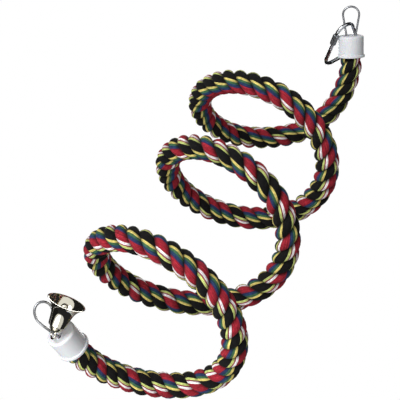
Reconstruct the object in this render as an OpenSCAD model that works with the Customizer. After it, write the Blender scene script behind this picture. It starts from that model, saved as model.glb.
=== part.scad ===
// Hanging spiral perch for a pet bird: a thick cotton rope, stiffened by a steel
// core wire and wound into an open coil. A plastic cap closes each end of the rope,
// a wire eye comes out of each cap, a quick link hangs on the upper eye and a small
// nickel-plated bell on the lower one.
// Millimetres. +Z is up and is the axis of the coil. The origin is the inside of the
// top of the upper eye, where a hook carries the perch.

/* [Rope] */
// Outer diameter of the three-strand cotton rope
rope_d = 20; // [17:0.5:21]
// Diameter of the bore that the strands leave for the core wire
rope_bore_d = 3.2; // [2.8:0.1:4]
// Diameter of the steel core wire
core_d = 2.4; // [1.8:0.1:2.6]
// Straight length of rope beyond each cap; with the rope in the cap it is one diameter
rope_straight = 6; // [5:1:12]

/* [Coil] */
// Turns of the coil between its two ends, which lead to the caps
coil_turns = 2.75; // [2:0.25:4]
// Direction in which the coil starts, in degrees from +X
coil_start = 90; // [70:1:110]
// Where the coil's upright axis stands, X and Y
coil_axis_at = [-39.4, 43];
// Radius of the rope's centreline at six even stations along the coil
coil_radius = [65.5, 66.5, 67, 65, 69, 64];
// Sideways drift of the turns along X at the same stations
coil_drift = [2, 9.5, 8.5, 3.5, -8.5, -9];
// Height of the rope's centreline at the same stations
coil_height = [-110, -174.5, -217.5, -277.5, -344.5, -396.5];

/* [Ends of the rope] */
// Compass direction of the upper cap, in degrees from +X
top_heading = -119.9; // [-130:0.1:-110]
// Slope of the upper cap above the horizontal, in degrees
top_slope = 31.8; // [22:0.1:42]
// Turn of the upper eye about the cap's axis, in degrees
top_eye_turn = 106; // [90:1:120]
// Step from the coil's end to the mouth of the lower cap
bottom_reach = [-117, 23.7, -30.5];
// Compass direction of the lower cap, in degrees from +X
bottom_heading = -132.6; // [-140:0.1:-125]
// Slope of the lower cap above the horizontal, in degrees
bottom_slope = -3.8; // [-12:0.1:4]
// Turn of the lower eye about the cap's axis, in degrees
bottom_eye_turn = 145; // [130:1:160]
// How long the rope keeps the direction of the upper cap as it bends into the coil
top_ease = 9; // [7:1:20]
// How long the rope keeps the direction of the coil before it bends to the upper cap
coil_ease_top = 96; // [80:1:110]
// How long the rope keeps the direction of the lower cap as it bends into the coil
bottom_ease = 48; // [36:1:60]
// How long the rope keeps the direction of the coil before it bends to the lower cap
coil_ease_bottom = 54; // [40:1:66]

/* [Caps] */
// Length of a cap
cap_len = 21; // [18:0.5:26]
// Wall of a cap around the rope
cap_wall = 1.5; // [1.2:0.1:3]
// Thickness of a cap's closed end
cap_end = 2; // [1.5:0.1:3]
// Radius of the rounded edge round the closed end
cap_edge_r = 1.8; // [0.8:0.1:2.2]
// How far the lip at the cap's mouth stands out
lip_out = 1.1; // [0.6:0.1:2]
// Height of that lip
lip_h = 2.4; // [1.5:0.1:4]
// Thickness of the tape that binds each rope end
tape_t = 0.35; // [0.2:0.05:0.6]
// Clearance between the rope and its tape
tape_gap = 0.3; // [0.3:0.05:0.5]
// Clearance between the tape and the cap
cap_gap = 0.15; // [0.1:0.05:0.5]
// Room between the rope's end and the cap's closed end, where the legs spread
cap_room = 5; // [4.5:0.5:6]

/* [Wire eyes] */
// Diameter of the eye wire
eye_wire_d = 2; // [1.6:0.1:2.2]
// Height of an eye's centreline above the cap
eye_h = 28; // [24:0.5:34]
// Radius of an eye's round top, to the centreline
eye_r = 7.8; // [6.5:0.1:9]
// Distance between the two legs where they enter the cap
eye_foot = 8.8; // [7:0.1:9]
// Distance between the two legs inside the ferrule
eye_pinch = 3; // [2.6:0.1:3.2]
// Play of the eye's legs in the holes of the cap
eye_play = 0.45; // [0.3:0.05:0.7]
// Twist of the lower eye between its foot and its top, in degrees
lower_eye_twist = 50; // [30:1:60]
// How far the top of the lower eye is bent along its own width
lower_eye_sway = 2; // [0:0.5:4]
// How far the top of the lower eye is bent out of its own plane
lower_eye_bend = 10; // [8:0.5:12]

/* [Ferrules] */
// Outer diameter of the crimped sleeve that joins an eye to the core wire
ferrule_d = 6; // [5.4:0.1:6.6]
// Length of the sleeve
ferrule_len = 10; // [9:0.5:11]
// Depth to which the eye's legs enter the sleeve
ferrule_grip = 4.5; // [4:0.1:5]
// Clearance round the sleeve in the rope's end
ferrule_gap = 0.4; // [0.3:0.1:0.8]

/* [Quick link] */
// Diameter of the link's rod
link_rod_d = 3.8; // [3.4:0.1:4]
// Length of the link, centreline to centreline
link_len = 48; // [45:0.5:50]
// Half of the link's greatest width, to the centreline
link_half_w = 20; // [18:0.5:21]
// Radius of the link's narrow end, to the centreline
link_top_r = 10; // [9:0.5:11]
// Radius of the link's two wide corners, to the centreline
link_corner_r = 8; // [6:0.5:9]
// Width of the sleeve nut across its flats
nut_flats = 5.4; // [5.2:0.1:7]
// Length of the sleeve nut
nut_len = 12; // [10:0.5:14]
// Opening between the link's two ends, which the nut bridges
gate_gap = 7.5; // [6:0.5:8]
// Where the middle of that opening is along the leg, from the narrow end
gate_at = 12; // [11:0.5:16]
// Clearance of the nut on the thread
nut_play = 0.08; // [0.03:0.01:0.1]
// Where the link's narrow end sits: in from the cap's side, behind, above its end
link_at = [6.7, -6.2, 10.6];
// Turn of the link about the cap's axis, in degrees
link_yaw = 48; // [44:0.5:52]
// How far the link leans back behind the cap, in degrees
link_lean = 35.6; // [34:0.1:40]
// Roll of the link about its own length, in degrees
link_roll = -26.6; // [-30:0.1:-22]

/* [Bell] */
// Diameter of the bell's mouth
bell_mouth_d = 31; // [28:0.2:32]
// Diameter of the bell at its shoulder
bell_shoulder_d = 14.4; // [13:0.2:16]
// Height of the bell's shell
bell_h = 20.6; // [19:0.2:22]
// Wall of the bell's shell
bell_wall = 0.8; // [0.6:0.05:1.2]
// Diameter of the crown that closes the top of the bell
crown_d = 11; // [9:0.2:12]
// Height of the crown
crown_h = 3.6; // [3:0.1:4.2]
// Inner radius of the ring on the crown, which hangs on the eye
crown_ring_r = 2.8; // [2.6:0.1:3]
// Thickness of that ring
crown_ring_t = 1.6; // [1.4:0.1:1.8]
// Turn of that ring about the bell's axis, so that it faces the wire's leg
crown_turn = -11; // [-25:1:25]
// Where the ring's centre is from the cap's closed end: across, behind, above
bell_at = [-4.7, -4.2, 6.8];
// How far the bell's axis leans from the cap's axis, in degrees
bell_lean = 58.5; // [56:0.5:61]
// Direction in which it leans, in degrees from the eye's width
bell_heading = -1.2; // [-6:0.1:3]
// Diameter of the clapper's ball
clapper_ball_d = 6; // [5:0.2:6.6]
// Length of the clapper, from its ring to the middle of its ball
clapper_len = 10.2; // [9:0.2:10.8]
// Thickness of the clapper's wire and of the staple that it hangs on
clapper_wire_d = 1.2; // [1:0.1:1.4]

/* [Hidden] */

// Sides of the rope's tube, of the core wire and of the bent wires
rope_sides = 12;
core_sides = 6;
wire_sides = 10;
// Rings of the rope's tube in one turn of the coil and in each lead
rings_per_turn = 24;
lead_rings = 10;
// Spacing of the rings in the upper lead, closer near the cap where it bends more
lead_even = 1.35;
// Facets of turned and drilled pieces
round_fn = 64;
// A hair by which a cutter runs past the face that it cuts
cut = 0.5;

rope_r = rope_d / 2;
tape_r = rope_r + tape_gap + tape_t;
cap_bore_r = tape_r + cap_gap;
cap_r = cap_bore_r + cap_wall;
eye_wire_r = eye_wire_d / 2;
link_r = link_rod_d / 2;

// Along the cap's axis, from its mouth: where the rope, the tape and the ferrule end
rope_end_z = cap_len - cap_end - cap_room;
tape_z = lip_h;
ferrule_top_z = rope_end_z - 0.5;
ferrule_bottom_z = ferrule_top_z - ferrule_len;
pocket_r = ferrule_d / 2 + ferrule_gap;

// ---- Points and directions ----

// Unit vector of a compass heading and a slope
function aim(heading, slope) =
    [cos(slope) * cos(heading), cos(slope) * sin(heading), sin(slope)];

function unit(v) = v / norm(v);

// A value that runs smoothly through the stations v at t = 0, 1, 2 and so on
function weight(n, t, i, j = 0) =
    j >= n ? 1 : (j == i ? 1 : (t - j) / (i - j)) * weight(n, t, i, j + 1);
function along(v, t, i = 0) =
    i >= len(v) ? 0 : v[i] * weight(len(v), t, i) + along(v, t, i + 1);

// The rope's centreline in the coil, which winds down as a left-handed helix
coil_end = len(coil_radius) - 1;
function coil_point(t) =
    let (a = coil_start + coil_turns * 360 * t / coil_end, r = along(coil_radius, t))
    [
        coil_axis_at[0] + along(coil_drift, t) + r * cos(a),
        coil_axis_at[1] + r * sin(a),
        along(coil_height, t)
    ];

function coil_aim(t) = unit(coil_point(t + 0.01) - coil_point(t - 0.01));

// A smooth lead from p to q, which leaves along u and arrives along v
function lead(p, u, ease_p, q, v, ease_q, s) =
    p * pow(1 - s, 3)
    + (p + u * ease_p) * 3 * s * pow(1 - s, 2)
    + (q - v * ease_q) * 3 * s * s * (1 - s)
    + q * pow(s, 3);

top_aim = aim(top_heading, top_slope);
bottom_aim = aim(bottom_heading, bottom_slope);
top_mouth = -top_aim * (cap_len + eye_h - eye_wire_r);
bottom_mouth = coil_point(coil_end) + bottom_reach;

top_rope_end = top_mouth + top_aim * rope_end_z;
bottom_rope_end = bottom_mouth + bottom_aim * rope_end_z;
top_lead_from = top_mouth - top_aim * rope_straight;
bottom_lead_to = bottom_mouth - bottom_aim * rope_straight;
coil_rings = round(coil_turns * rings_per_turn);

// The centreline from one rope end to the other
rope_path = concat(
    [top_rope_end,
     top_mouth + top_aim * (ferrule_bottom_z - ferrule_gap),
     top_mouth + top_aim * (ferrule_bottom_z - ferrule_gap - 1),
     top_mouth - top_aim * rope_straight / 2],
    [for (i = [0:lead_rings - 1])
        lead(top_lead_from, -top_aim, top_ease,
             coil_point(0), coil_aim(0), coil_ease_top,
             1 - pow(1 - i / lead_rings, lead_even))],
    [for (i = [0:coil_rings]) coil_point(coil_end * i / coil_rings)],
    [for (i = [1:lead_rings])
        lead(coil_point(coil_end), coil_aim(coil_end), coil_ease_bottom,
             bottom_lead_to, bottom_aim, bottom_ease, i / lead_rings)],
    [bottom_mouth - bottom_aim * rope_straight / 2,
     bottom_mouth + bottom_aim * (ferrule_bottom_z - ferrule_gap - 1),
     bottom_mouth + bottom_aim * (ferrule_bottom_z - ferrule_gap),
     bottom_rope_end]);
last_ring = len(rope_path) - 1;

// The bore widens at both ends into a pocket for the ferrule
rope_bore = [for (i = [0:last_ring])
    (i < 2 || i > last_ring - 2) ? pocket_r : rope_bore_d / 2];

// ---- Swept tubes ----

// Direction of a path at its point i
function path_aim(path, i) =
    unit(path[min(i + 1, len(path) - 1)] - path[max(i - 1, 0)]);

// One ring of a tube: its points stand square to the path, from a reference direction
function ring(path, i, r, sides, ref) =
    let (d = path_aim(path, i), s = unit(cross(ref, d)), u = cross(d, s))
    [for (k = [0:sides - 1])
        path[i] + r * (cos(360 * k / sides) * s + sin(360 * k / sides) * u)];

// Faces between ring a and ring b, two triangles a side
function band(a, b, sides) =
    [for (k = [0:sides - 1], f = [0, 1])
        let (n = (k + 1) % sides)
        f == 0 ? [a + k, b + k, b + n] : [a + k, b + n, a + n]];

// A solid wire along an open path
module wire(path, r, sides, ref) {
    rings = len(path);
    points = [for (i = [0:rings - 1]) each ring(path, i, r, sides, ref)];
    sides_faces = [for (i = [0:rings - 2]) each band(i * sides, (i + 1) * sides, sides)];
    start_face = [[for (k = [0:sides - 1]) k]];
    end_face = [[for (k = [sides - 1:-1:0]) (rings - 1) * sides + k]];
    polyhedron(points, concat(sides_faces, start_face, end_face), convexity = 10);
}

// A hollow tube along an open path, whose bore has a radius for each ring
module tube(path, r, bore, sides, ref) {
    rings = len(path);
    outer = [for (i = [0:rings - 1]) each ring(path, i, r, sides, ref)];
    inner = [for (i = [0:rings - 1]) each ring(path, i, bore[i], sides, ref)];
    in0 = rings * sides;
    out_faces = [for (i = [0:rings - 2]) each band(i * sides, (i + 1) * sides, sides)];
    in_faces = [for (i = [0:rings - 2])
        each band(in0 + (i + 1) * sides, in0 + i * sides, sides)];
    start_face = band(in0, 0, sides);
    end_face = band((rings - 1) * sides, in0 + (rings - 1) * sides, sides);
    polyhedron(concat(outer, inner), concat(out_faces, in_faces, start_face, end_face),
               convexity = 10);
}

// Least distance between stretches of the rope that are more than half a turn apart
apart = round(rings_per_turn / 2);
self_gap = min([for (i = [0:last_ring - apart], j = [i + apart:last_ring])
    norm(rope_path[i] - rope_path[j])]) - rope_d;
rope_length = [for (i = [1:last_ring]) norm(rope_path[i] - rope_path[i - 1])]
    * [for (i = [1:last_ring]) 1];
echo(str("Least gap between two turns of the rope: ", self_gap, " mm"));
echo(str("Length of the rope's centreline: ", rope_length, " mm"));

// ---- Frames of the two ends: +Z leaves the rope, z = 0 is the cap's mouth ----

module at_top() {
    translate(top_mouth)
        rotate([0, 90 - top_slope, top_heading])
            rotate([0, 0, top_eye_turn])
                children();
}

module at_bottom() {
    translate(bottom_mouth)
        rotate([0, 90 - bottom_slope, bottom_heading])
            rotate([0, 0, bottom_eye_turn])
                children();
}

// ---- Rope and core wire ----

module rope() {
    color("#8a2a3c")
        tube(rope_path, rope_r, rope_bore, rope_sides, [0, 0, 1]);
}

// The core wire runs in the rope's bore from one ferrule to the other
core_path = concat(
    [top_mouth + top_aim * (ferrule_top_z - ferrule_grip - 1)],
    [for (i = [2:last_ring - 2]) rope_path[i]],
    [bottom_mouth + bottom_aim * (ferrule_top_z - ferrule_grip - 1)]);

module core_wire() {
    color("#a9abad")
        wire(core_path, core_d / 2, core_sides, [0, 0, 1]);
}

// ---- End fittings ----

// Half section of a cap, from its mouth up to the rounded closed end
module cap_section() {
    difference() {
        union() {
            square([cap_r, cap_len - cap_edge_r]);
            square([cap_r - cap_edge_r, cap_len]);
            translate([cap_r - cap_edge_r, cap_len - cap_edge_r])
                circle(r = cap_edge_r, $fn = round_fn);
            square([cap_r + lip_out, lip_h - lip_out / 2]);
            translate([0, lip_h - lip_out])
                square([cap_r + lip_out / 2, lip_out]);
            translate([cap_r + lip_out / 2, lip_h - lip_out / 2])
                circle(r = lip_out / 2, $fn = round_fn);
        }
        translate([-cap_r, -cut])
            square([cap_r + cap_bore_r, cap_len - cap_end + cut]);
        translate([-cap_r, -cut])
            square([cap_r, cap_len + 2 * cut]);
    }
}

module cap() {
    difference() {
        union() {
            rotate_extrude($fn = round_fn)
                cap_section();
            translate([0, 0, cap_len - cap_end])
                cylinder(r = cap_bore_r, h = cap_end, $fn = round_fn);
        }
        for (side = [-1, 1])
            translate([side * eye_foot / 2, 0, cap_len - cap_end - cut])
                cylinder(r = eye_wire_r + eye_play, h = cap_end + 2 * cut, $fn = round_fn);
    }
}

// Tape wound on the rope's end so that the strands don't open
module tape() {
    difference() {
        translate([0, 0, tape_z])
            cylinder(r = tape_r, h = rope_end_z - tape_z, $fn = round_fn);
        translate([0, 0, tape_z - cut])
            cylinder(r = tape_r - tape_t, h = rope_end_z - tape_z + 2 * cut, $fn = round_fn);
    }
}

// Crimped sleeve: two sockets for the eye's legs above, one for the core wire below
module ferrule() {
    difference() {
        translate([0, 0, ferrule_bottom_z])
            cylinder(d = ferrule_d, h = ferrule_len, $fn = round_fn);
        for (side = [-1, 1])
            translate([side * eye_pinch / 2, 0, ferrule_top_z - ferrule_grip])
                cylinder(d = eye_wire_d + 0.1, h = ferrule_grip + cut, $fn = round_fn);
        translate([0, 0, ferrule_bottom_z - cut])
            cylinder(d = core_d + 0.1, h = ferrule_len - ferrule_grip - 0.9 + cut,
                     $fn = round_fn);
    }
}

// Half of an eye above the cap: a straight leg that meets the round top at a tangent
eye_centre_h = eye_h - eye_r;
foot_distance = norm([eye_foot / 2, eye_centre_h]);
touch_angle = acos(eye_r / foot_distance) - atan2(eye_centre_h, eye_foot / 2);
leg_steps = 5;
arc_steps = 11;
touch = [eye_r * cos(touch_angle), eye_centre_h + eye_r * sin(touch_angle)];
half_eye = concat(
    [for (i = [0:leg_steps - 1])
        [eye_foot / 2, 0] + (touch - [eye_foot / 2, 0]) * i / leg_steps],
    [for (i = [0:arc_steps])
        let (a = touch_angle + (90 - touch_angle) * i / arc_steps)
        [eye_r * cos(a), eye_centre_h + eye_r * sin(a)]]);

// Inside the cap, each leg bends in to the ferrule
inner_steps = 5;
inner_from = ferrule_top_z - ferrule_grip + 0.2;
inner_leg = concat(
    [[eye_pinch / 2, inner_from]],
    [for (i = [0:inner_steps])
        let (s = i / inner_steps, ease = s * s * (3 - 2 * s))
        [eye_pinch / 2 + (eye_foot - eye_pinch) / 2 * ease,
         ferrule_top_z + (cap_len - cap_end - ferrule_top_z) * s]]);

// The eye's path, with a twist, a sway and a bend that grow with height over the cap
function eye_point(side, p, twist, sway, bend) =
    let (u = p[1] / eye_h, a = twist * (1 - u))
    [side * p[0] * cos(a) + sway * u * u,
     side * p[0] * sin(a) + bend * u * u,
     cap_len + p[1]];

function eye_path(twist, sway, bend) = concat(
    [for (p = inner_leg) [-p[0] * cos(twist), -p[0] * sin(twist), p[1]]],
    [for (p = half_eye) eye_point(-1, p, twist, sway, bend)],
    [for (i = [len(half_eye) - 2:-1:0]) eye_point(1, half_eye[i], twist, sway, bend)],
    [for (i = [len(inner_leg) - 1:-1:0])
        let (p = inner_leg[i]) [p[0] * cos(twist), p[0] * sin(twist), p[1]]]);

module eye(twist, sway, bend) {
    wire(eye_path(twist, sway, bend), eye_wire_r, wire_sides,
         [-sin(twist / 2), cos(twist / 2), 0]);
}

module top_cap() {
    color("#f1f1f4") at_top() cap();
}

module top_tape() {
    color("#e9e4d2") at_top() tape();
}

module top_ferrule() {
    color("#b9bbbe") at_top() ferrule();
}

module top_eye() {
    color("#c9ccd0") at_top() eye(0, 0, 0);
}

module bottom_cap() {
    color("#f1f1f4") at_bottom() rotate([0, 0, lower_eye_twist]) cap();
}

module bottom_tape() {
    color("#e9e4d2") at_bottom() tape();
}

module bottom_ferrule() {
    color("#b9bbbe") at_bottom() rotate([0, 0, lower_eye_twist]) ferrule();
}

module bottom_eye() {
    color("#c9ccd0") at_bottom() eye(lower_eye_twist, lower_eye_sway, lower_eye_bend);
}

// ---- Quick link: a pear-shaped rod with a gate that a sleeve nut closes ----
// In its own frame the link lies in XZ, its narrow end at the origin and its length
// along -Z. The gate is in the leg at -X.

link_corner = [link_half_w - link_corner_r, -(link_len - link_corner_r)];
link_span = norm(link_corner - [0, -link_top_r]);
link_tilt = atan2(link_corner[1] + link_top_r, link_corner[0])
    + acos((link_top_r - link_corner_r) / link_span);
leg_top = [0, -link_top_r] + link_top_r * [cos(link_tilt), sin(link_tilt)];
leg_bottom = link_corner + link_corner_r * [cos(link_tilt), sin(link_tilt)];
leg_aim = unit(leg_bottom - leg_top);
link_arc_steps = 9;

// Centreline of the whole leg at +X, from the narrow end to the middle of the wide end
half_link = concat(
    [for (i = [0:link_arc_steps])
        let (a = 90 + (link_tilt - 90) * i / link_arc_steps)
        [0, -link_top_r] + link_top_r * [cos(a), sin(a)]],
    [for (i = [0:link_arc_steps])
        let (a = link_tilt + (-90 - link_tilt) * i / link_arc_steps)
        link_corner + link_corner_r * [cos(a), sin(a)]]);

gate_mid = leg_top + leg_aim * (gate_at - link_top_r / 2);
gate_upper = gate_mid - leg_aim * gate_gap / 2;
gate_lower = gate_mid + leg_aim * gate_gap / 2;

// The rod starts above the gate, runs round the narrow end and back up to the gate
link_path = concat(
    [[-gate_upper[0], 0, gate_upper[1]]],
    [for (i = [link_arc_steps:-1:1]) [-half_link[i][0], 0, half_link[i][1]]],
    [for (p = half_link) [p[0], 0, p[1]]],
    [for (i = [len(half_link) - 1:-1:link_arc_steps + 1])
        [-half_link[i][0], 0, half_link[i][1]]],
    [[-gate_lower[0], 0, gate_lower[1]]]);

module at_link() {
    at_top()
        translate([link_at[0] - cap_r, link_at[1], cap_len + link_at[2]])
            rotate([0, 0, link_yaw])
                rotate([link_lean, 0, 0])
                    rotate([0, link_roll, 0])
                        children();
}

module link_body() {
    color("#b4b8bd") at_link() wire(link_path, link_r, 12, [0, 1, 0]);
}

// The nut closes the gate and runs down the leg to open it
module link_nut() {
    color("#a2a6ab")
        at_link()
            translate([-gate_mid[0], 0, gate_mid[1]])
                rotate([0, atan2(-leg_aim[0], leg_aim[1]), 0])
                    nut();
}

nut_corner_r = nut_flats / 2 / cos(30);
nut_chamfer = 0.7;

module nut() {
    difference() {
        intersection() {
            translate([0, 0, -nut_len / 2])
                linear_extrude(nut_len)
                    circle(r = nut_corner_r, $fn = 6);
            rotate_extrude($fn = round_fn)
                polygon([
                    [0, -nut_len / 2],
                    [nut_corner_r - nut_chamfer, -nut_len / 2],
                    [nut_corner_r, -nut_len / 2 + nut_chamfer],
                    [nut_corner_r, nut_len / 2 - nut_chamfer],
                    [nut_corner_r - nut_chamfer, nut_len / 2],
                    [0, nut_len / 2]
                ]);
        }
        translate([0, 0, -nut_len / 2 - cut])
            cylinder(r = link_r + nut_play, h = nut_len + 2 * cut, $fn = round_fn);
    }
}

// ---- Bell ----
// In its own frame the crown's ring is centred on the origin and the mouth is at +Z.

ring_tube_r = crown_ring_t / 2;
crown_z = crown_ring_r + crown_ring_t / 2;
shoulder_z = crown_z + crown_h;
mouth_z = shoulder_z + bell_h;
shoulder_r = bell_shoulder_d / 2;
mouth_r = bell_mouth_d / 2;
shoulder_edge = 1.2;
lip_bead = 0.5;

// Outside of the shell: nearly straight at first, then a sharp flare to the mouth
flare_steps = 12;
function shell_r(u) = shoulder_r + (mouth_r - shoulder_r) * (0.3 * u + 0.7 * pow(u, 4.2));
shell_outside = concat(
    [for (i = [0:5]) let (a = 90 - 15 * i)
        [shoulder_r - shoulder_edge + shoulder_edge * cos(a),
         shoulder_z + shoulder_edge - shoulder_edge * sin(a)]],
    [for (i = [1:flare_steps]) let (u = i / flare_steps)
        [shell_r(u), shoulder_z + shoulder_edge + (bell_h - shoulder_edge) * u]]);
shell_inside = [for (i = [len(shell_outside) - 1:-1:0])
    let (p = shell_outside[i])
    i < 6 ? [max(p[0] - bell_wall, 0), p[1] + bell_wall]
          : [p[0] - bell_wall, p[1]]];

module at_bell() {
    at_bottom()
        translate([bell_at[0], bell_at[1], cap_len + bell_at[2]])
            rotate([0, bell_lean, bell_heading])
                children();
}

rivet_r = 1;
// The rivet ends in a blind hole in the staple's plate, short of the staple's wire
plate_t = 1.4;
rivet_grip = 0.7;

module bell_shell() {
    color("#cfd0c8")
        at_bell()
            difference() {
                rotate_extrude($fn = 96)
                    polygon(concat([[0, shoulder_z]], shell_outside, shell_inside,
                                   [[0, shoulder_z + bell_wall]]));
                translate([0, 0, shoulder_z - cut])
                    cylinder(r = rivet_r + 0.05, h = bell_wall + 2 * cut, $fn = round_fn);
            }
}

// The crown: a turned boss with a ring above it and a rivet through the shell
crown_edge = 0.8;
ring_turn = 90 + crown_turn;

module bell_crown() {
    color("#c4c4ba")
        at_bell()
            union() {
                rotate_extrude($fn = round_fn)
                    polygon([
                        [0, crown_z - 0.4],
                        [crown_d / 2 - crown_edge - 0.8, crown_z - 0.4],
                        [crown_d / 2 - 0.6, crown_z + crown_edge],
                        [crown_d / 2, shoulder_z],
                        [rivet_r, shoulder_z],
                        [rivet_r, shoulder_z + bell_wall + rivet_grip],
                        [0, shoulder_z + bell_wall + rivet_grip]
                    ]);
                difference() {
                    rotate([90, 0, ring_turn])
                        rotate_extrude($fn = round_fn)
                            translate([crown_ring_r + ring_tube_r, 0])
                                circle(r = ring_tube_r, $fn = 32);
                    translate([0, 0, crown_z + 1])
                        cylinder(r = crown_d, h = crown_d);
                }
            }
}

// The staple is riveted under the shell's top; the clapper's ring is linked to it
staple_r = 1.9;
staple_z = shoulder_z + bell_wall + plate_t + staple_r;
clapper_wire_r = clapper_wire_d / 2;
link_play = 0.15;
clapper_ring_r = 1.6;
clapper_pivot_z = staple_z + staple_r + clapper_ring_r - clapper_wire_r * 2 - link_play;

module clapper_staple() {
    color("#a8a89e")
        at_bell()
            union() {
                translate([0, 0, staple_z])
                    rotate([90, 0, 0])
                        rotate_extrude($fn = 48)
                            translate([staple_r, 0])
                                circle(r = clapper_wire_r, $fn = 24);
                translate([0, 0, shoulder_z + bell_wall])
                    difference() {
                        cylinder(r = 2.6, h = plate_t, $fn = round_fn);
                        translate([0, 0, -cut])
                            cylinder(r = rivet_r + 0.05, h = rivet_grip + 0.05 + cut,
                                     $fn = round_fn);
                    }
            }
}

module clapper() {
    color("#b9b9b0")
        at_bell()
            translate([0, 0, clapper_pivot_z])
                union() {
                    rotate([90, 0, 90])
                        rotate_extrude($fn = 48)
                            translate([clapper_ring_r, 0])
                                circle(r = clapper_wire_r, $fn = 24);
                    translate([0, 0, clapper_ring_r])
                        cylinder(r = clapper_wire_r, h = clapper_len - clapper_ring_r,
                                 $fn = 32);
                    translate([0, 0, clapper_len])
                        sphere(d = clapper_ball_d, $fn = 48);
                }
}

rope();
core_wire();
top_cap();
top_tape();
top_ferrule();
top_eye();
bottom_cap();
bottom_tape();
bottom_ferrule();
bottom_eye();
link_body();
link_nut();
bell_shell();
bell_crown();
clapper_staple();
clapper();
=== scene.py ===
"""Looks of a hanging spiral perch for a pet bird: a laid cotton rope wound into a coil,
with plastic end caps, wire eyes, a quick link and a nickel-plated bell."""

import math

import bmesh
import bpy
import numpy as np
from mathutils import Matrix, Vector


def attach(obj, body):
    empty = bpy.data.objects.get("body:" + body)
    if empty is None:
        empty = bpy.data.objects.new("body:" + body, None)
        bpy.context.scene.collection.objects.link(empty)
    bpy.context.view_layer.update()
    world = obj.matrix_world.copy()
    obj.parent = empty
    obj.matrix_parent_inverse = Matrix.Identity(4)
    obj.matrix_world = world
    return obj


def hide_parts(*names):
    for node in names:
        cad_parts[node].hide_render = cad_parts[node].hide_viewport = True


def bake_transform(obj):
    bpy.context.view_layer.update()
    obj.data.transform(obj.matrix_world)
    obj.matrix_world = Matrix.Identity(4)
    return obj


bl_info = {
    "name": "Spiral Rope Perch",
    "version": (1, 0, 0),
    "blender": (4, 5, 0),
    "location": "View3D > Sidebar > Perch",
    "description": "Builds a coiled cotton rope perch with caps, eyes, a link and a bell",
    "category": "Add Mesh",
}

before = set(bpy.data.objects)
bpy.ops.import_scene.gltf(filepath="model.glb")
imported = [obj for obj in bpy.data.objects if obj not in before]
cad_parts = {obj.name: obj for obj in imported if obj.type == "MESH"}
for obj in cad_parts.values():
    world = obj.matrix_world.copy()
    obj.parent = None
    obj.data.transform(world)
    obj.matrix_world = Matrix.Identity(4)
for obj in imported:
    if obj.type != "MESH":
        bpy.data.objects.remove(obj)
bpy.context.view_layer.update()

MM = 0.001
TURN = 2 * math.pi
QUARTER = math.pi / 2

# The commonest kinds of node
MATH, VECTOR_MATH, MAP_RANGE = "ShaderNodeMath", "ShaderNodeVectorMath", "ShaderNodeMapRange"

# ---- Sizes of the perch in millimetres and degrees, the same as the part's own ----

rope_d = 20.0
rope_straight = 6.0
coil_turns = 2.75
coil_start = 90.0
coil_axis_at = (-39.4, 43.0)
coil_radius = (65.5, 66.5, 67, 65, 69, 64)
coil_drift = (2, 9.5, 8.5, 3.5, -8.5, -9)
coil_height = (-110, -174.5, -217.5, -277.5, -344.5, -396.5)
coil_end = len(coil_radius) - 1
top_heading, top_slope, top_eye_turn = -119.9, 31.8, 106.0
bottom_reach = (-117, 23.7, -30.5)
bottom_heading, bottom_slope, bottom_eye_turn = -132.6, -3.8, 145.0
top_ease, coil_ease_top = 9.0, 96.0
bottom_ease, coil_ease_bottom = 48.0, 54.0
cap_len, cap_end, cap_room, cap_fit, cap_wall = 21.0, 2.0, 5.0, 0.8, 1.5
cap_lip, cap_lip_h, cap_edge, cap_bevel, eye_hole_r = 1.1, 2.4, 1.8, 0.25, 1.45
eye_wire_d, eye_h, eye_r, eye_foot, eye_pinch, eye_tail = 2.0, 28.0, 7.8, 8.8, 3.0, 4.3
lower_eye_twist, lower_eye_sway, lower_eye_bend = 50.0, 2.0, 10.0
core_wire_r, core_tail = 1.2, 5.5
link_len, link_half_w = 48.0, 20.0
link_top_r, link_corner_r = 10.0, 8.0
gate_gap, gate_at, thread_len, nut_r = 7.5, 12.0, 9.0, 2.9
link_at = (-5.6, -6.2, 31.6)
link_yaw, link_lean, link_roll = 48.0, 35.6, -26.6
bell_at = (-4.7, -4.2, 27.8)
bell_lean, bell_heading = 58.5, -1.2
crown_ring_r, ring_tube_r, crown_h, crown_d, crown_turn = 2.8, 0.8, 3.6, 11.0, -11.0
bell_shoulder_r, bell_mouth_r, bell_h, bell_wall, bell_edge = 7.2, 15.5, 20.6, 0.8, 1.2
bell_taper, bell_flare = 0.3, 4.2
rivet_r, rivet_grip, rivet_room = 1.0, 0.7, 0.05
plate_r, plate_t, plate_edge, staple_r = 2.6, 1.4, 0.3, 1.9
clapper_wire_r, clapper_ring_r, clapper_len, clapper_ball_r = 0.6, 1.6, 10.2, 3.0
clapper_play = 0.15

rope_end_z = cap_len - cap_end - cap_room
ferrule_top_z = rope_end_z - 0.5
crown_z = crown_ring_r + ring_tube_r
shoulder_z = crown_z + crown_h
plate_z = shoulder_z + bell_wall
staple_z = plate_z + plate_t + staple_r
clapper_z = staple_z + staple_r + clapper_ring_r - clapper_wire_r * 2 - clapper_play

# Distances in metres from the rope's ends over which it comes out of the caps' squeeze,
# and the share of its thickness that the squeeze leaves
squeeze_start, squeeze_end, squeezed = 0.013, 0.024, 0.94

# The lower end of the rope is laid tighter, from this length on in metres and by so many
# turns for each square metre past it
tighter_from, tighter_by = 1.15, 8.0

# Where the laying of this rope went uneven, in turns at every 0.2 m of it: how far all its
# strands lead, and how far each strand's own yarns are twisted round
station_step = 0.2
lay_lead = (0, 0.1, 0.1, 0.25, 0.25, 0.2, 0.35, 0.7, 0.8)
yarn_lead = ((1.1, 0.9, 1.4, 1.6, 1.9, 1.9, 1.3, 1.0, 0.9),
             (1.1, 1.0, 1.1, 0.9, 0.7, 0.3, 0.5, 0.5, 0.4),
             (-0.1, 0.6, 1.0, 0.9, 1.3, 0.9, 1.0, 1.4, 1.4))

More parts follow.
